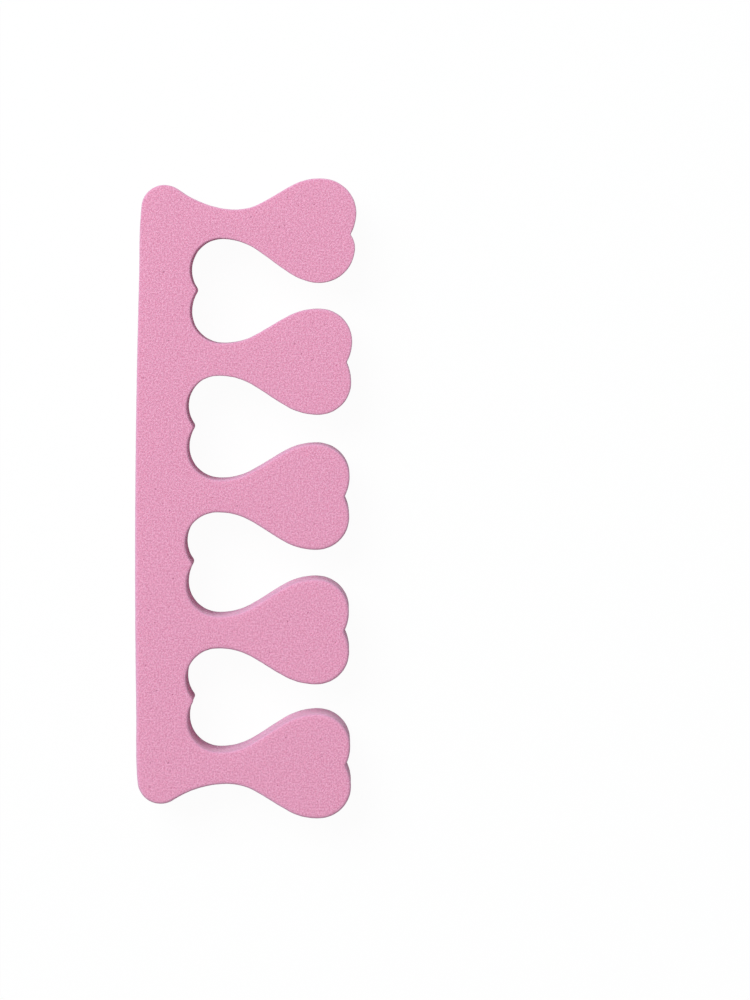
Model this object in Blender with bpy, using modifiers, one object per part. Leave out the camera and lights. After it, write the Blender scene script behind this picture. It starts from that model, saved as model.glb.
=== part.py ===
"""Toe separator: one die-cut piece of soft foam, lying flat.

A spine carries heart-shaped fingers, and the gaps between them are hearts of nearly the same outline,
turned half a turn. One lobe of each gap is a little shallower than the other. The last finger is slimmer
than the rest and leans to its neighbour, and its head is rounder on that side. Metres, +Z up. The spine
runs along Y, the fingers point to +X, and the piece lies on Z = 0. The outline is first worked out
straight, as points (across, along): across from the back edge of the spine, along from the middle finger.
It is then bowed, as the soft piece lies, and moved over the origin.
"""
import math

import bmesh
import bpy

# Driving sizes
FINGERS = 5
PITCH = 0.02135
THICKNESS = 0.009
SPINE_DEPTH = 0.00785
NECK_WIDTH = 0.0051
MOUTH_WIDTH = 0.00465
HEAD_DEPTH = 0.0052
FLANK_LENGTH = 0.01495
FLANK_STRAIGHT = 0.0054
LOBE_SPACING = 0.0065
TIP_NOTCH_DEPTH = 0.00075
TIP_NOTCH_RADIUS = 0.00025
ROOT_POINT_HEIGHT = 0.00105
ROOT_POINT_RADIUS = 0.0006
ROOT_LOBE_SHORTFALL = 0.0002
HORN_RADIUS = 0.0036
HORN_REACH = 0.00545
END_NECK_SHIFT = 0.00065
LAST_NECK_WIDTH = 0.0046
LAST_MOUTH_WIDTH = 0.00505
LAST_LOBE_SPACING = 0.00435
LAST_FINGER_LEAN = math.radians(2.6)
BOW_RADIUS = 1.525
EDGE_ROUND = 0.0003

# Fineness of the arcs, as the most that a chord may cut off, and of the rounded edge
CHORD_SAG = 0.000012
EDGE_STEPS = 2
WELD_DISTANCE = 0.000001
FLAT_ENOUGH = 0.99

# Finish
FOAM_COLOUR = (0.767, 0.337, 0.504, 1.0)
FOAM_ROUGHNESS = 0.9


def clear_scene():
    """Removes whatever the scene holds."""
    for thing in list(bpy.data.objects):
        bpy.data.objects.remove(thing, do_unlink=True)


def arc(centre, radius, start, end):
    """Points on a circle from one angle to another, close enough for the chord sag."""
    step = 2 * math.acos(1 - CHORD_SAG / max(radius, 4 * CHORD_SAG))
    count = max(2, math.ceil(abs(end - start) / step))
    angles = [start + (end - start) * i / count for i in range(count + 1)]
    return [(centre[0] + radius * math.cos(a), centre[1] + radius * math.sin(a)) for a in angles]


def direction(origin, target):
    """Angle of the line from one point to another."""
    return math.atan2(target[1] - origin[1], target[0] - origin[0])


def inner_touch(first, first_radius, second, second_radius):
    """Angle, from both centres, of the point where two circles touch, the smaller inside the larger."""
    if first_radius < second_radius:
        return direction(second, first)
    return direction(first, second)


def half_heart(neck, wide, length, lobe_shape, notch_shape):
    """Half a heart about the axis across = 0, from its neck to its notch, as (out, aside) points.

    The neck's arc and the shoulder's arc have one radius, set by the straight flank between them. The
    lobe's arc touches the shoulder's arc from inside and the heart's outermost line at the lobe's crest.
    From there the nose arc runs to the notch, where a small arc rounds the meeting of the two halves. The
    lobe's shape is its depth past the shoulder and the spacing of two such lobes, and the notch's shape is
    its depth and its radius.
    """
    depth, spacing = lobe_shape
    notch_depth, notch_radius = notch_shape
    rise = (wide - neck) / 2
    flank = (length ** 2 + rise ** 2 - FLANK_STRAIGHT ** 2) / (4 * rise)
    neck_centre = (0.0, neck / 2 + flank)
    shoulder_centre = (length, wide / 2 - flank)
    slope = direction(neck_centre, shoulder_centre) + math.atan2(2 * flank, FLANK_STRAIGHT)
    crest = spacing / 2
    drop = crest - shoulder_centre[1]
    lobe = (flank ** 2 - depth ** 2 - drop ** 2) / (2 * (flank - depth))
    lobe_centre = (length + depth - lobe, crest)
    shoulder_end = inner_touch(shoulder_centre, flank, lobe_centre, lobe)
    nose_reach = (crest ** 2 + notch_depth ** 2) / (2 * notch_depth)
    nose = nose_reach - notch_radius
    nose_centre = (length + depth - nose, crest)
    nose_end = -math.asin(crest / nose_reach)
    notch_centre = (nose_centre[0] + nose_reach * math.cos(nose_end), 0.0)
    points = arc(neck_centre, flank, -math.pi / 2, slope - math.pi / 2)
    points += arc(shoulder_centre, flank, slope + math.pi / 2, shoulder_end)
    points += arc(lobe_centre, lobe, shoulder_end, 0.0)[1:]
    points += arc(nose_centre, nose, 0.0, nose_end)[1:]
    points += arc(notch_centre, notch_radius, nose_end + math.pi, math.pi)[1:]
    return points


def end_of_spine(neck):
    """From the end finger's outer neck, along the hollow and over the horn to the back edge."""
    neck_station = SPINE_DEPTH + HEAD_DEPTH + END_NECK_SHIFT
    low = neck / 2 - HORN_REACH + HORN_RADIUS
    run = neck_station - HORN_RADIUS
    hollow_radius = (run ** 2 + low ** 2 - HORN_RADIUS ** 2) / (2 * (HORN_RADIUS - low))
    hollow_centre = (neck_station, neck / 2 + hollow_radius)
    horn_centre = (HORN_RADIUS, HORN_REACH - HORN_RADIUS)
    touch = direction(horn_centre, hollow_centre)
    hollow = arc(hollow_centre, hollow_radius, -math.pi / 2, touch - math.pi)
    horn = arc(horn_centre, HORN_RADIUS, touch, math.pi)
    return hollow + horn[1:]


def finger_side(neck, mouth, spacing, outermost):
    """One side of a finger, from neck to notch; an end finger's outer neck sits further out."""
    shift = END_NECK_SHIFT if outermost else 0.0
    station = SPINE_DEPTH + HEAD_DEPTH + shift
    lobe = (HEAD_DEPTH, spacing)
    notch = (TIP_NOTCH_DEPTH, TIP_NOTCH_RADIUS)
    side = half_heart(neck, PITCH - mouth, FLANK_LENGTH - shift, lobe, notch)
    return [(station + out, aside) for out, aside in side]


def gap_side(neck, mouth, shortfall):
    """One side of a gap's head, from its widest station to the point of foam at its root."""
    widest = SPINE_DEPTH + HEAD_DEPTH
    lobe = (HEAD_DEPTH - shortfall, LOBE_SPACING)
    point = (ROOT_POINT_HEIGHT - shortfall, ROOT_POINT_RADIUS)
    side = half_heart(mouth, PITCH - neck, FLANK_LENGTH, lobe, point)
    return [(widest + FLANK_LENGTH - out, aside) for out, aside in side if out > FLANK_LENGTH]


def placed(points, axis, side):
    """Points beside an axis, on its +along side (1) or its other side (-1)."""
    return [(across, axis + side * aside) for across, aside in points]


def back_edge():
    """The spine's back edge between its horns, from the last end to the first, close enough to be bowed."""
    end = (FINGERS - 1) / 2 * PITCH + HORN_REACH - HORN_RADIUS
    step = 2 * BOW_RADIUS * math.acos(1 - CHORD_SAG / BOW_RADIUS)
    count = math.ceil(2 * end / step)
    return [(0.0, end - 2 * end * i / count) for i in range(1, count)]


def leant(points):
    """The last finger leans a little towards its neighbour, from the roots of the gaps on."""
    root = SPINE_DEPTH + ROOT_POINT_HEIGHT
    last_gap = (FINGERS - 2) / 2 * PITCH
    fall = math.tan(LAST_FINGER_LEAN)
    return [(u, v - fall * (u - root)) if u > root and v > last_gap else (u, v) for u, v in points]


def bowed(points):
    """The straight outline bent about a far centre on the fingers' side."""
    return [
        (
            BOW_RADIUS - (BOW_RADIUS - u) * math.cos(v / BOW_RADIUS),
            (BOW_RADIUS - u) * math.sin(v / BOW_RADIUS),
        )
        for u, v in points
    ]


def comb_outline():
    """The closed outline, counter-clockwise from the first finger's outer neck."""
    first = -(FINGERS - 1) / 2 * PITCH
    outline = []
    for number in range(FINGERS):
        axis = first + number * PITCH
        last = number == FINGERS - 1
        neck = LAST_NECK_WIDTH if last else NECK_WIDTH
        mouth = LAST_MOUTH_WIDTH if last else MOUTH_WIDTH
        spacing = LAST_LOBE_SPACING if last else LOBE_SPACING
        if number > 0:
            near_side = gap_side(NECK_WIDTH, MOUTH_WIDTH, ROOT_LOBE_SHORTFALL)
            far_side = gap_side(neck, mouth, 0.0)
            outline += placed(near_side, axis - PITCH / 2, -1)
            outline += placed(far_side, axis - PITCH / 2, 1)[-2::-1]
        outline += placed(finger_side(neck, mouth, spacing, number == 0), axis, -1)
        outline += placed(finger_side(neck, MOUTH_WIDTH, LOBE_SPACING, last), axis, 1)[-2::-1]
    outline += placed(end_of_spine(LAST_NECK_WIDTH), -first, 1)[1:]
    outline += back_edge()
    outline += placed(end_of_spine(NECK_WIDTH), first, -1)[:0:-1]
    return bowed(leant(outline))


def centred(points):
    """The outline with the middle of its box over the origin."""
    across = [x for x, y in points]
    along = [y for x, y in points]
    middle_x = (min(across) + max(across)) / 2
    middle_y = (min(along) + max(along)) / 2
    return [(x - middle_x, y - middle_y) for x, y in points]


def flat_curve(name, points, thickness):
    """A filled 2D curve, extruded to a thickness and standing on Z = 0."""
    curve = bpy.data.curves.new(name, "CURVE")
    curve.dimensions = "2D"
    curve.fill_mode = "BOTH"
    curve.extrude = thickness / 2
    spline = curve.splines.new("POLY")
    spline.points.add(len(points) - 1)
    for target, (x, y) in zip(spline.points, points):
        target.co = (x, y, 0.0, 1.0)
    spline.use_cyclic_u = True
    piece = bpy.data.objects.new(name, curve)
    piece.location.z = thickness / 2
    return piece


def as_mesh(curve_object, collection):
    """The curve's evaluated mesh as an object of its own: its caps welded to its wall, each as one face."""
    bpy.context.view_layer.update()
    evaluated = curve_object.evaluated_get(bpy.context.evaluated_depsgraph_get())
    mesh = bpy.data.meshes.new_from_object(evaluated)
    body = bmesh.new()
    body.from_mesh(mesh)
    bmesh.ops.remove_doubles(body, verts=body.verts, dist=WELD_DISTANCE)
    for side in (1, -1):
        cap = [face for face in body.faces if face.normal.z * side > FLAT_ENOUGH]
        bmesh.ops.dissolve_faces(body, faces=cap)
    body.to_mesh(mesh)
    body.free()
    name = curve_object.name
    place = curve_object.matrix_world.copy()
    bpy.data.objects.remove(curve_object, do_unlink=True)
    piece = bpy.data.objects.new(name, mesh)
    piece.matrix_world = place
    collection.objects.link(piece)
    return piece


def foam_material():
    """Matt pink foam."""
    material = bpy.data.materials.new("foam")
    material.use_nodes = True
    shader = material.node_tree.nodes["Principled BSDF"]
    shader.inputs["Base Color"].default_value = FOAM_COLOUR
    shader.inputs["Roughness"].default_value = FOAM_ROUGHNESS
    shader.inputs["Metallic"].default_value = 0.0
    return material


def foam_comb(collection):
    """The whole separator: the bowed comb outline, cut through the sheet, with softened edges."""
    curve_object = flat_curve("foam_comb", centred(comb_outline()), THICKNESS)
    collection.objects.link(curve_object)
    piece = as_mesh(curve_object, collection)
    edge = piece.modifiers.new("soft_edge", "BEVEL")
    edge.width = EDGE_ROUND
    edge.segments = EDGE_STEPS
    edge.limit_method = "ANGLE"
    edge.angle_limit = math.radians(60)
    piece.data.materials.clear()
    piece.data.materials.append(foam_material())
    piece.data.shade_smooth()
    piece.data.set_sharp_from_angle(angle=math.radians(30))
    return piece


def main():
    clear_scene()
    collection = bpy.data.collections.new("toe_separator")
    bpy.context.scene.collection.children.link(collection)
    foam_comb(collection)


main()
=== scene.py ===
"""Looks of the toe separator: one piece of soft pink foam on a pale floor, seen from above.

The foam is one mesh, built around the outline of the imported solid. Its cut wall and softened edges are a
profile carried along that outline, and its two faces are fine sheets of triangles with real pits in them.
"""
import math

import bpy
import numpy as np
from mathutils import Matrix, Vector
from mathutils.geometry import delaunay_2d_cdt


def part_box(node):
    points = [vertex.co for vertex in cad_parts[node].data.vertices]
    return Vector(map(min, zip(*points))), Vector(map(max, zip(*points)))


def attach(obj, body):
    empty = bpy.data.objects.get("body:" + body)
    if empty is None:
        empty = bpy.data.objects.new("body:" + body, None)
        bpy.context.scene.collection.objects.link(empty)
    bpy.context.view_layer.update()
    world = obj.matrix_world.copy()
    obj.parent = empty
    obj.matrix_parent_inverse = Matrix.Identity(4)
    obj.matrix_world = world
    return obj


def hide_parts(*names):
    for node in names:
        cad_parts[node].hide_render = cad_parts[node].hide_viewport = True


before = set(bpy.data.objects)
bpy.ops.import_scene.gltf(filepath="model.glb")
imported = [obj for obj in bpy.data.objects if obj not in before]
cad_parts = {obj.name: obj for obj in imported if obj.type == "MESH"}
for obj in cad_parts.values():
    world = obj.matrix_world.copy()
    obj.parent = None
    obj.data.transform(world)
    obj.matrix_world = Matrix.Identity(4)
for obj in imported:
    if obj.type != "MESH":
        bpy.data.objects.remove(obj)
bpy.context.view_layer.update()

# Cut wall and rims, in metres and radians, with counts of rows and columns and shares of 0 to 1
COLUMN_WIDTH = 0.00033
WALL_ROWS = 15
ROUND_ROWS = 5
TOP_ROUND = (0.00042, 0.00036)
LOW_ROUND = (0.00030, 0.00026)
RING_INSET = 0.00045
POINT_SHARE = 0.75
POINT_REACH = 3
LEAST_TURN = 0.001
CRISP_END = 0.4
CRISP_SPAN = (-0.02, 0.04)
WAIST = 0.00016
WALL_RIPPLE = 0.000018
RIPPLE_SIZE = 0.0016
# Painted shade low on the wall: its height, and where along X it fades out towards the heads
FOOT_SHADE_REACH = 0.0044
FOOT_SHADE_SPAN = (0.0, 0.009)

# Faces, in metres, with the jitter as a share of the lattice's step
LATTICE_STEP = 0.00036
LATTICE_JITTER = 0.22
LATTICE_CLEARANCE = 0.00022
FACE_SWELL = 0.000035
SWELL_SIZE = 0.028
FACE_GRAIN = 0.000010
EDGE_SINK = 0.00006
EDGE_SINK_REACH = 0.0009

# Open cells in the faces, in metres, with their circles and lip as shares of their radius
PITS_ON_A_FACE = 90
PIT_TRIES = 450
PIT_RADIUS = (0.00008, 0.00019)
PIT_DEPTH = 0.00012
PIT_MARGIN = 0.0007
PIT_SPACING = 0.00076
PIT_SPOKES = 8
PIT_CIRCLES = (0.5, 1.0, 1.45)
PIT_CLEARANCE = 1.75
PIT_LIP = 1.15

# Random swell: how many waves it has, how their lengths spread, and what their sum is divided by
WAVES = 8
WAVE_LENGTHS = (0.7, 1.5)
WAVE_DIVISOR = 3

# Seeds of what is random
RIPPLE_SEED = 11
TOP_SEED = 31
LOW_SEED = 51
SWELL_SEED = 71
GRAIN_SEED = 91

# Foam finish: sizes in metres, the spans of noise and cells that count, and how strong each tint is
CELL_SIZE = 0.00034
CELL_SHARE = 0.2
FACE_CELLS = (0.1, 0.65)
WALL_CELLS = (0.2, 0.75)
GRAIN_SIZE = 0.00026
GRAIN_SPAN = (0.36, 0.64)
WALL_TINT = 0.75
# Strength of the rims' grey tone and painted shade.
RIM_GREY_AND_SHADE_TINT = 2.8
# Strength of the painted shade low on the wall.
FOOT_SHADE_TINT = 0.8
# Strength of the painted shade in the pits.
PIT_SHADE_TINT = 0.5
BUMP_DISTANCE = 0.00006
FOAM_ROUGHNESS = 0.84
DARK_CELL_ROUGHNESS = 0.12
GLOW_DEPTH = 0.0035

# Camera, in metres and degrees: it stands above the last gap and looks a little towards the middle
PHOTO_SIZE = (750, 1000)
FOCAL_PIXELS = 4008.8
SENSOR_WIDTH = 36.0
CAMERA_PLACE = (0.01448, 0.03282, 0.62937)
CAMERA_TARGET = (0.02031, -0.00041, 0.0)
CAMERA_ROLL = -0.57

# Light
KEY_PLACE = (-0.58, 0.64, 1.02)
KEY_WIDTH = 1.00
KEY_LEVEL = 0.68
KEY_COLOUR = (0.84, 0.97, 1.0)
SKY_LEVEL = 0.34
SKY_COLOUR = (1.0, 0.97, 0.97)
FLOOR_LIFT = 0.96
FLOOR_REACH = 3.0


def from_screen(red, green, blue):
    """A colour of 0 to 255 as a screen shows it, as the linear colour that shaders take."""
    levels = np.array([red, green, blue]) / 255
    linear = np.where(levels <= 0.04045, levels / 12.92, ((levels + 0.055) / 1.055) ** 2.4)
    return (*linear.tolist(), 1.0)


FOAM_LIGHT = from_screen(251, 175, 204)
FOAM_MAUVE = from_screen(226, 146, 177)
# Painted shade inside the pits.
PIT_SHADE_COLOUR = from_screen(178, 112, 146)
WALL_COLOUR = from_screen(248, 186, 214)
# Greyer, darker rounded rims: partly the rims' own grey tone, partly painted shade that damps the highlight
# on rims facing the lamp.
RIM_GREY_AND_SHADE_COLOUR = from_screen(214, 157, 187)
# Painted shade low on the wall.
FOOT_SHADE_COLOUR = from_screen(200, 140, 168)
FLOOR_COLOUR = from_screen(196, 196, 198)
FLOOR_SEEN = from_screen(255, 249, 248)
WHITE = (1.0, 1.0, 1.0, 1.0)


class Socket:
    """One output of a shader node. Arithmetic on it adds Math nodes to its finish."""

    def __init__(self, finish, output):
        self.finish = finish
        self.output = output

    def maths(self, operation, *values):
        """A Math node of the given operation on the given values."""
        return self.finish.node("ShaderNodeMath", {"operation": operation}, dict(enumerate(values)))

    def __add__(self, other):
        return self.maths("ADD", self, other)

    def __radd__(self, other):
        return self.maths("ADD", other, self)

    def __sub__(self, other):
        return self.maths("SUBTRACT", self, other)

    def __rsub__(self, other):
        return self.maths("SUBTRACT", other, self)

    def __mul__(self, other):
        return self.maths("MULTIPLY", self, other)

    def __rmul__(self, other):
        return self.maths("MULTIPLY", other, self)

    def between(self, low, high):
        """How far the value is from low to high, as 0 to 1 and held there."""
        inputs = {"Value": self, "From Min": low, "From Max": high}
        return self.finish.node("ShaderNodeMapRange", {"clamp": True}, inputs)


class Finish:
    """A material and its node tree."""

    def __init__(self, name):
        self.material = bpy.data.materials.new(name)
        self.material.use_nodes = True
        self.tree = self.material.node_tree
        self.shader = self.tree.nodes["Principled BSDF"]

    def node(self, kind, settings, inputs, output=0):
        """A new node of a kind: its settings first, then its sockets' values or links; gives one output."""
        node = self.tree.nodes.new(kind)
        for name, value in settings.items():
            setattr(node, name, value)
        for name, value in inputs.items():
            self.feed(node.inputs[name], value)
        return Socket(self, node.outputs[output])

    def feed(self, socket, value):
        """Links a Socket to an input, or sets the input to a plain value."""
        if isinstance(value, Socket):
            self.tree.links.new(value.output, socket)
        else:
            socket.default_value = value

    def mix(self, factor, first, second):
        """A blend of two colours by a factor."""
        settings = {"data_type": "RGBA"}
        return self.node("ShaderNodeMix", settings, {0: factor, 6: first, 7: second}, 2)

    def mark(self, name):
        """One of the numbers that the mesh keeps for each of its points."""
        return self.node("ShaderNodeAttribute", {"attribute_name": name}, {}, "Fac")

    def noise(self, place, size, dimensions="3D"):
        """Smooth noise whose lumps are about one size across, in metres; 2D noise reads X and Y alone."""
        inputs = {"Vector": place, "Scale": 1 / size, "Detail": 1.0, "Roughness": 0.5}
        return self.node("ShaderNodeTexNoise", {"noise_dimensions": dimensions}, inputs)

    def cells(self, place, size, dimensions="3D"):
        """Distance to the middle of the nearest foam cell, for cells of one size across, in metres."""
        settings = {"feature": "F1", "voronoi_dimensions": dimensions}
        inputs = {"Vector": place, "Scale": 1 / size, "Randomness": 0.8}
        return self.node("ShaderNodeTexVoronoi", settings, inputs)


def mesh_object(name, places, faces):
    """A smooth-shaded object at the origin from an array of points and a list of faces."""
    mesh = bpy.data.meshes.new(name)
    mesh.from_pydata(places.tolist(), [], faces)
    mesh.shade_smooth()
    mesh.validate()
    mesh.update()
    piece = bpy.data.objects.new(name, mesh)
    bpy.context.scene.collection.objects.link(piece)
    return piece


def cut_outline(node):
    """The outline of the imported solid's upright wall: points in order, with the solid on their left.

    The wall's lower rim is the only set of level edges at the height where the rounded edge ends. Each of
    its edges belongs to a wall triangle, whose winding gives the direction, and the chain is followed by
    index. Points that share a place, to a ten-thousandth of a millimetre, are first made one.
    """
    mesh = node.data
    places = np.empty(len(mesh.vertices) * 3)
    mesh.vertices.foreach_get("co", places)
    places = places.reshape(-1, 3)
    corners = np.empty(len(mesh.loops), dtype=int)
    mesh.loops.foreach_get("vertex_index", corners)
    grid = np.round(places * 1e7).astype(np.int64)
    unique, shared = np.unique(grid, axis=0, return_inverse=True)
    merged = unique / 1e7
    triangles = shared.reshape(-1)[corners].reshape(-1, 3)
    heights = merged[triangles][:, :, 2]
    middle = (places[:, 2].min() + places[:, 2].max()) / 2
    wall = (heights.min(axis=1) < middle) & (heights.max(axis=1) > middle)
    rim_height = heights[wall].min()
    follow = {}
    for triangle in triangles[wall]:
        for start, end in zip(triangle, np.roll(triangle, -1)):
            if max(merged[start, 2], merged[end, 2]) < rim_height + 1e-6:
                follow[int(start)] = int(end)
    loop = [next(iter(follow))]
    while follow[loop[-1]] != loop[0]:
        loop.append(follow[loop[-1]])
    return merged[loop][:, :2]


def even_loop(points, spacing):
    """Points at equal steps along a smooth closed curve through the given points.

    Between two points the curve is a cubic whose end slopes are those of the circle through each point and
    its two neighbours, so true arcs stay arcs.
    """
    ahead = np.roll(points, -1, axis=0)
    chord = np.hypot(*(ahead - points).T)
    before = np.roll(chord, 1)
    slope_in = (points - np.roll(points, 1, axis=0)) / before[:, None]
    slope_out = (ahead - points) / chord[:, None]
    slope = (slope_in * chord[:, None] + slope_out * before[:, None]) / (chord + before)[:, None]
    reach = np.r_[0.0, np.cumsum(chord)]
    count = int(round(reach[-1] / spacing))
    wanted = np.arange(count) * reach[-1] / count
    part = np.clip(np.searchsorted(reach, wanted, side="right") - 1, 0, len(points) - 1)
    t = ((wanted - reach[part]) / chord[part])[:, None]
    length = chord[part][:, None]
    start, end = points[part], ahead[part]
    leave, arrive = slope[part] * length, np.roll(slope, -1, axis=0)[part] * length
    rise = smooth_step(t)
    return start + (end - start) * rise + leave * t * (1 - t) ** 2 - arrive * t * t * (1 - t)


def smooth_step(t):
    """A rise from 0 to 1 that starts and ends level: three times t squared, less twice t cubed."""
    return t * t * (3 - 2 * t)


def along_span(values, span):
    """How far values lie from a span's start to its end, as 0 to 1 and held there."""
    return np.clip((values - span[0]) / (span[1] - span[0]), 0, 1)


def outward(loop):
    """Unit directions out of a loop that runs with its inside on the left."""
    along = np.roll(loop, -1, axis=0) - np.roll(loop, 1, axis=0)
    along /= np.hypot(*along.T)[:, None]
    return np.column_stack([along[:, 1], -along[:, 0]])


def around(values, reach):
    """Each value's neighbours on a loop, up to a reach on both sides, as rows of one array."""
    return np.stack([np.roll(values, shift) for shift in range(-reach, reach + 1)])


def inset_share(loop, widest):
    """How much of the full inset each column takes: less where the outline turns round a tight point.

    The inset stays under a part of the point's radius, which is the column's width over the angle it turns.
    The smallest share among the neighbours, and then their mean, leads into and out of the point smoothly.
    """
    step = np.roll(loop, -1, axis=0) - loop
    heading = np.arctan2(step[:, 1], step[:, 0])
    turn = (heading - np.roll(heading, 1) + math.pi) % (2 * math.pi) - math.pi
    radius = np.hypot(*step.T) / np.maximum(turn, LEAST_TURN)
    share = np.minimum(1.0, POINT_SHARE * radius / widest)
    return around(around(share, POINT_REACH).min(axis=0), POINT_REACH).mean(axis=0)


def rim_softness(loop):
    """How full the top rim's rounding is: 1 at one end of the piece, and less at the other."""
    return 1 - (1 - CRISP_END) * smooth_step(along_span(loop[:, 1], CRISP_SPAN))


def foot_shade_depth(loop):
    """Strength of the painted shade low on the wall: 1 in the gaps' roots, down in a straight line to 0 at
    the heads.
    """
    return 1 - along_span(loop[:, 0], FOOT_SHADE_SPAN)


def edge_profile(low, high):
    """Section of the foam's edge from the top face, round its rim, down the wall and in under the lower rim.

    Both rims are quarter ellipses. Between them the wall draws in towards its middle by a sine squared, as a
    cut foam edge does. Gives how far each point lies inside the outline, its height, and which are on the
    top rim.
    """
    turn = np.linspace(0, math.pi / 2, ROUND_ROWS + 1)
    wall = np.linspace(0, 1, WALL_ROWS)[1:-1]
    top_in = TOP_ROUND[0] * (1 - np.sin(turn))
    top_z = high - TOP_ROUND[1] * (1 - np.cos(turn))
    wall_in = WAIST * np.sin(math.pi * wall) ** 2
    wall_z = top_z[-1] + (low + LOW_ROUND[1] - top_z[-1]) * wall
    low_in = LOW_ROUND[0] * (1 - np.cos(turn))
    low_z = low + LOW_ROUND[1] * (1 - np.sin(turn))
    top_ring = [RING_INSET + TOP_ROUND[0] / 2]
    low_ring = [RING_INSET + LOW_ROUND[0] / 2]
    inset = np.concatenate([top_ring, top_in, wall_in, low_in, low_ring])
    height = np.concatenate([[high], top_z, wall_z, low_z, [low]])
    on_rim = np.arange(len(height)) <= ROUND_ROWS + 1
    return inset, height, on_rim


def waves(places, size, seed):
    """Soft random swell, mostly between -1 and 1: a sum of sines of random headings, over a divisor.

    The sines' waves are about one size long, in metres.
    """
    dice = np.random.default_rng(seed)
    swell = np.zeros(len(places))
    for number in range(WAVES):
        heading = dice.normal(size=places.shape[1])
        heading *= 2 * math.pi / (size * dice.uniform(*WAVE_LENGTHS) * np.linalg.norm(heading))
        swell += np.sin(places @ heading + dice.uniform(0, 2 * math.pi))
    return swell / WAVE_DIVISOR


def wall_sheet(loop, low, high):
    """The edge profile carried along the outline, as rows of points, with marks for each point.

    A point lies inside the outline by the profile's inset times the column's share, and on the top rim
    times its softness too. A ripple then presses the wall in here and there. The marks say whether a point
    is on the wall, how strong the painted shade low on the wall is there, and how far the point lies from
    the outline.
    """
    out = outward(loop)
    inset, height, on_rim = edge_profile(low, high)
    share = inset_share(loop, inset.max())
    softness = np.where(on_rim[:, None], rim_softness(loop)[None], 1.0)
    inward = inset[:, None] * share[None] * softness
    level = high - (high - height[:, None]) * softness
    wall = np.concatenate([loop[None] - out[None] * inward[:, :, None], level[:, :, None]], axis=2)
    on_wall = np.clip(np.minimum(high - height, height - low) / TOP_ROUND[1], 0, 1)[:, None]
    ripple = waves(wall.reshape(-1, 3), RIPPLE_SIZE, RIPPLE_SEED).reshape(level.shape) * WALL_RIPPLE
    wall[:, :, :2] -= out[None] * (np.abs(ripple) * on_wall)[:, :, None]
    # Painted shade low on the wall: darkest at the floor in the roots of the gaps, fading upwards and
    # towards the heads.
    foot_shade = np.clip(foot_shade_depth(loop)[None] - (height - low)[:, None] / FOOT_SHADE_REACH, 0, 1) * on_wall
    return wall, np.broadcast_to(on_wall, level.shape), foot_shade, np.outer(inset, share)


def wall_quads(rows, columns):
    """Faces of the wall sheet, from row to row and round the loop, by the numbers of its points."""
    row, column = np.meshgrid(np.arange(rows - 1), np.arange(columns), indexing="ij")
    here = row * columns + column
    after = row * columns + (column + 1) % columns
    return np.stack([here, here + columns, after + columns, after], axis=2).reshape(-1, 4)


def nearest(points, loop, block=2000):
    """Distance from each point to the nearest point of a loop."""
    found = np.empty(len(points))
    for start in range(0, len(points), block):
        some = points[start:start + block]
        gaps = some[:, None, :] - loop[None, :, :]
        found[start:start + block] = np.sqrt((gaps ** 2).sum(axis=2).min(axis=1))
    return found


def inside(points, loop, block=2000):
    """Which points lie inside a loop: a ray from each crosses it an odd number of times."""
    ahead = np.roll(loop, -1, axis=0)
    found = np.empty(len(points), dtype=bool)
    for start in range(0, len(points), block):
        x, y = points[start:start + block].T[:, :, None]
        spans = (loop[:, 1] > y) != (ahead[:, 1] > y)
        rise = np.where(ahead[:, 1] == loop[:, 1], 1.0, ahead[:, 1] - loop[:, 1])
        crossing = loop[:, 0] + (y - loop[:, 1]) / rise * (ahead[:, 0] - loop[:, 0])
        found[start:start + block] = (spans & (x < crossing)).sum(axis=1) % 2 == 1
    return found


def pits_inside(ring, seed):
    """Places and radii of the open cells on one face, well inside its ring and clear of each other."""
    dice = np.random.default_rng(seed)
    tries = dice.uniform(ring.min(axis=0), ring.max(axis=0), size=(PIT_TRIES, 2))
    tries = tries[inside(tries, ring)]
    tries = tries[nearest(tries, ring) > PIT_MARGIN]
    kept = []
    for place in tries:
        if all(np.hypot(*(place - other)) > PIT_SPACING for other in kept):
            kept.append(place)
    kept = np.array(kept[:PITS_ON_A_FACE])
    radii = PIT_RADIUS[0] + (PIT_RADIUS[1] - PIT_RADIUS[0]) * dice.random(len(kept)) ** 2
    return kept, radii


def lattice_inside(ring, seed):
    """A triangular lattice, each point moved a little at random, that fills a ring up to a clearance."""
    dice = np.random.default_rng(seed)
    low, high = ring.min(axis=0), ring.max(axis=0)
    row_step = LATTICE_STEP * math.sqrt(3) / 2
    rows, columns = np.meshgrid(
        np.arange(int((high[1] - low[1]) / row_step) + 1),
        np.arange(int((high[0] - low[0]) / LATTICE_STEP) + 1),
        indexing="ij",
    )
    across = low[0] + (columns + (rows % 2) / 2) * LATTICE_STEP
    along = low[1] + rows * row_step
    lattice = np.column_stack([across.ravel(), along.ravel()])
    lattice += dice.uniform(-LATTICE_JITTER, LATTICE_JITTER, lattice.shape) * LATTICE_STEP
    lattice = lattice[inside(lattice, ring)]
    return lattice[nearest(lattice, ring) > LATTICE_CLEARANCE]


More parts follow.
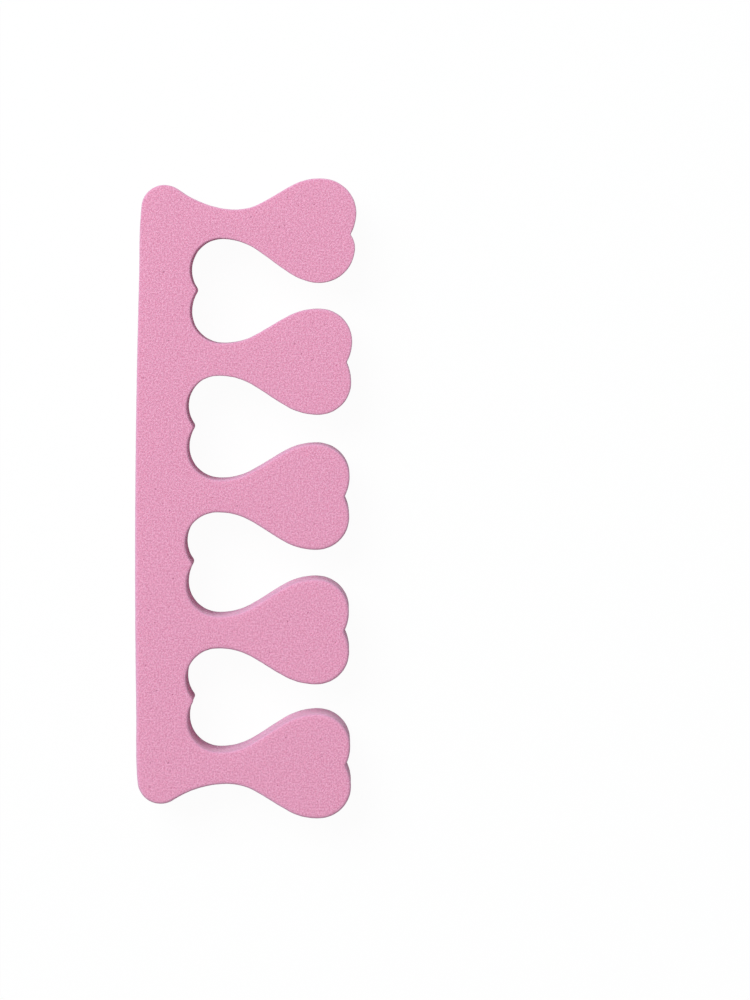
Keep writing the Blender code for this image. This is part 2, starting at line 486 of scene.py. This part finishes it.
def face_points(ring, seed):
    """Points that fill one face: a loose lattice, and a centre and circles of points for each pit."""
    lattice = lattice_inside(ring, seed)
    pits, radii = pits_inside(ring, seed + 1)
    gaps = np.hypot(*(lattice[:, None, :] - pits[None, :, :]).transpose(2, 0, 1))
    groups = [lattice[(gaps > PIT_CLEARANCE * radii).all(axis=1)], pits]
    for number, circle in enumerate(PIT_CIRCLES):
        turns = (np.arange(PIT_SPOKES) + number % 2 / 2) * 2 * math.pi / PIT_SPOKES
        spokes = np.column_stack([np.cos(turns), np.sin(turns)])
        groups.append((pits[:, None, :] + circle * radii[:, None, None] * spokes[None]).reshape(-1, 2))
    return np.vstack(groups), pits, radii


def pit_depths(points, pits, radii):
    """How deep each point lies in a pit, from 0 to 1: a bowl with a soft lip."""
    deep = np.zeros(len(points))
    for place, radius in zip(pits, radii):
        share = np.hypot(*(points - place).T) / (PIT_LIP * radius)
        deep = np.maximum(deep, np.clip(1 - share ** 2, 0, 1) ** 1.5)
    return deep


def face_triangles(ring, points):
    """Triangles that join a closed ring and the points inside it, numbered on from the ring's own."""
    everything = [Vector(place) for place in np.vstack([ring, points]).tolist()]
    border = [list(range(len(ring)))]
    _, _, triangles, origins, _, _ = delaunay_2d_cdt(everything, [], border, 1, 1e-9)
    return np.array([[origins[corner][0] for corner in triangle] for triangle in triangles])


def foam_piece(node):
    """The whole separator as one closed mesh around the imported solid's outline.

    The two faces close the wall's first and last rows. A fine grain and a sink towards the outline then
    press both faces in, and a wide swell moves the top.
    """
    low, high = (corner.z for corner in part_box("foam_comb"))
    loop = even_loop(cut_outline(node), COLUMN_WIDTH)
    wall, is_wall, foot_shade, depth_inside = wall_sheet(loop, low, high)
    rows, columns = is_wall.shape
    places = [wall.reshape(-1, 3)]
    faces = wall_quads(rows, columns).tolist()
    none = np.zeros(rows * columns)
    marks = {"pit": [none], "wall": [is_wall.ravel()], "foot_shade": [foot_shade.ravel()]}
    is_face, edge_gaps = [none], [depth_inside.ravel()]
    start = rows * columns
    for row, level, side, seed in ((0, high, 1, TOP_SEED), (rows - 1, low, -1, LOW_SEED)):
        ring = wall[row, :, :2]
        points, pits, radii = face_points(ring, seed)
        deep = pit_depths(points, pits, radii)
        places.append(np.column_stack([points, level - side * PIT_DEPTH * deep]))
        marks["pit"].append(deep)
        marks["wall"].append(np.zeros(len(points)))
        marks["foot_shade"].append(np.zeros(len(points)))
        is_face.append(np.ones(len(points)))
        edge_gaps.append(nearest(points, loop))
        numbers = face_triangles(ring, points)
        numbers = np.where(numbers < columns, numbers + row * columns, numbers - columns + start)
        faces += (numbers if side > 0 else numbers[:, ::-1]).tolist()
        start += len(points)
    places = np.vstack(places)
    dice = np.random.default_rng(GRAIN_SEED)
    grain = np.abs(dice.normal(size=len(places))) * np.concatenate(is_face) * FACE_GRAIN
    sink = EDGE_SINK * np.exp(-np.concatenate(edge_gaps) / EDGE_SINK_REACH)
    places[:, 2] -= (grain + sink) * (places[:, 2] * 2 - high - low) / (high - low)
    swell = (waves(places[:, :2], SWELL_SIZE, SWELL_SEED) - 1) / 2 * FACE_SWELL
    places[:, 2] += swell * (places[:, 2] - low) / (high - low)
    piece = mesh_object("foam_comb_soft", places, faces)
    for name, parts in marks.items():
        layer = piece.data.attributes.new(name, "FLOAT", "POINT")
        layer.data.foreach_set("value", np.concatenate(parts).astype(np.float32))
    return piece


def foam_finish():
    """Matt fine-celled foam: pink with a grain of lighter and mauve cells, open pits and a duller cut wall.

    The faces take noise and cells that read X and Y alone, and the wall takes solid ones. The darker cells
    are also lower and a little rougher. Painted shade darkens the pits and the lower wall, and the rounded
    rims take a greyer, darker colour, partly their own tone and partly painted shade against their
    highlight.
    """
    finish = Finish("foam_soft")
    place = finish.node("ShaderNodeTexCoord", {}, {}, "Object")
    pit = finish.mark("pit")
    wall = finish.mark("wall")
    foot_shade = finish.mark("foot_shade")
    flat = finish.cells(place, CELL_SIZE, "2D").between(*FACE_CELLS) * CELL_SHARE
    flat = flat + finish.noise(place, GRAIN_SIZE, "2D").between(*GRAIN_SPAN) * (1 - CELL_SHARE)
    deep = finish.cells(place, CELL_SIZE).between(*WALL_CELLS) * CELL_SHARE
    deep = deep + finish.noise(place, GRAIN_SIZE).between(*GRAIN_SPAN) * (1 - CELL_SHARE)
    shade = flat * (1 - wall) + deep * wall
    colour = finish.mix(shade, FOAM_LIGHT, FOAM_MAUVE)
    colour = finish.mix(wall * WALL_TINT, colour, WALL_COLOUR)
    # The rounded rims take a greyer, darker colour: partly their own grey tone, partly painted shade against
    # the highlight where a rim faces the lamp.
    colour = finish.mix(wall * (1 - wall) * RIM_GREY_AND_SHADE_TINT, colour, RIM_GREY_AND_SHADE_COLOUR)
    # Painted shade low on the wall, strongest in the roots of the gaps.
    colour = finish.mix(foot_shade * FOOT_SHADE_TINT, colour, FOOT_SHADE_COLOUR)
    # Painted shade in the pits, darker the deeper the point lies.
    colour = finish.mix(pit * PIT_SHADE_TINT, colour, PIT_SHADE_COLOUR)
    lumps = {"Strength": 0.55, "Distance": BUMP_DISTANCE, "Height": 1 - shade}
    shader = finish.shader.inputs
    finish.feed(shader["Base Color"], colour)
    finish.feed(shader["Roughness"], FOAM_ROUGHNESS + shade * DARK_CELL_ROUGHNESS)
    finish.feed(shader["Normal"], finish.node("ShaderNodeBump", {}, lumps))
    finish.feed(shader["IOR"], 1.40)
    finish.feed(shader["Specular IOR Level"], 0.25)
    finish.feed(shader["Subsurface Weight"], 0.25)
    finish.feed(shader["Subsurface Radius"], (0.32, 0.32, 0.32))
    finish.feed(shader["Subsurface Scale"], GLOW_DEPTH)
    finish.feed(shader["Sheen Weight"], 0.12)
    finish.feed(shader["Sheen Roughness"], 0.4)
    finish.feed(shader["Sheen Tint"], (0.85, 0.93, 1.0, 1.0))
    return finish.material


def floor():
    """A plain pale floor whose colour the camera sees lifted towards white, with the piece's shadow kept."""
    corners = ((-1, -1, 0), (1, -1, 0), (1, 1, 0), (-1, 1, 0))
    piece = mesh_object("floor", np.array(corners) * FLOOR_REACH, [(0, 1, 2, 3)])
    finish = Finish("floor_paper")
    seen = finish.node("ShaderNodeLightPath", {}, {}, "Is Camera Ray")
    mirrored = finish.node("ShaderNodeLightPath", {}, {}, "Is Glossy Ray")
    finish.feed(finish.shader.inputs["Base Color"], finish.mix(seen + mirrored, FLOOR_COLOUR, FLOOR_SEEN))
    finish.feed(finish.shader.inputs["Roughness"], 0.9)
    finish.feed(finish.shader.inputs["Specular IOR Level"], 0.1)
    white = finish.node("ShaderNodeEmission", {}, {"Color": WHITE, "Strength": 1.0})
    shaded = Socket(finish, finish.shader.outputs[0])
    shown = finish.node("ShaderNodeMixShader", {}, {0: (seen + mirrored) * FLOOR_LIFT, 1: shaded, 2: white})
    finish.feed(finish.tree.nodes["Material Output"].inputs["Surface"], shown)
    piece.data.materials.append(finish.material)


def sky():
    """An even white surrounding: plain light on the object, and pure white where the camera sees it."""
    world = bpy.data.worlds.new("studio")
    bpy.context.scene.world = world
    world.use_nodes = True
    tree = world.node_tree
    light = tree.nodes["Background"]
    light.inputs["Color"].default_value = (*SKY_COLOUR, 1.0)
    light.inputs["Strength"].default_value = SKY_LEVEL
    shown = tree.nodes.new("ShaderNodeBackground")
    shown.inputs["Color"].default_value = WHITE
    shown.inputs["Strength"].default_value = 1.0
    path = tree.nodes.new("ShaderNodeLightPath")
    blend = tree.nodes.new("ShaderNodeMixShader")
    tree.links.new(path.outputs["Is Camera Ray"], blend.inputs[0])
    tree.links.new(light.outputs[0], blend.inputs[1])
    tree.links.new(shown.outputs[0], blend.inputs[2])
    tree.links.new(blend.outputs[0], tree.nodes["World Output"].inputs["Surface"])


def key_light():
    """One broad soft light from the upper left of the picture.

    A white level face at the origin sends back the key level: the lamp's power over pi squared and the sum
    of the squares of its distance and radius, times the cosine of its slant.
    """
    distance = Vector(KEY_PLACE).length
    slant = KEY_PLACE[2] / distance
    lamp = bpy.data.lights.new("key", "AREA")
    lamp.shape = "DISK"
    lamp.size = KEY_WIDTH
    lamp.energy = KEY_LEVEL * math.pi ** 2 * (distance ** 2 + (KEY_WIDTH / 2) ** 2) / slant
    lamp.color = KEY_COLOUR
    holder = bpy.data.objects.new("key", lamp)
    holder.location = KEY_PLACE
    holder.rotation_euler = (-Vector(KEY_PLACE)).to_track_quat("-Z", "Y").to_euler()
    bpy.context.scene.collection.objects.link(holder)


def camera():
    """The photograph's view: down over the gap beside the last finger, tilted a little and turned by a hair.

    The back edge of the spine, along Y, stands upright in the picture. The roll then turns the picture about
    its middle.
    """
    place, target = Vector(CAMERA_PLACE), Vector(CAMERA_TARGET)
    back = (place - target).normalized()
    right = Vector((0.0, 1.0, 0.0)).cross(back).normalized()
    up = back.cross(right)
    roll = math.radians(CAMERA_ROLL)
    turned_right = right * math.cos(roll) - up * math.sin(roll)
    turned_up = right * math.sin(roll) + up * math.cos(roll)
    turned = Matrix((turned_right, turned_up, back)).transposed().to_4x4()
    lens = bpy.data.cameras.new("camera")
    lens.sensor_width = SENSOR_WIDTH
    lens.lens = FOCAL_PIXELS * SENSOR_WIDTH / max(PHOTO_SIZE)
    lens.clip_start = 0.01
    lens.clip_end = 20.0
    holder = bpy.data.objects.new("camera", lens)
    holder.matrix_world = Matrix.Translation(place) @ turned
    bpy.context.scene.collection.objects.link(holder)
    bpy.context.scene.camera = holder


def show_plainly():
    """The plain view transform, so that a colour renders as it is written."""
    bpy.context.scene.view_settings.view_transform = "Standard"


show_plainly()
camera()
sky()
key_light()
floor()
foam = foam_piece(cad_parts["foam_comb"])
foam.data.materials.append(foam_finish())
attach(foam, "root")
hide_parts("foam_comb")
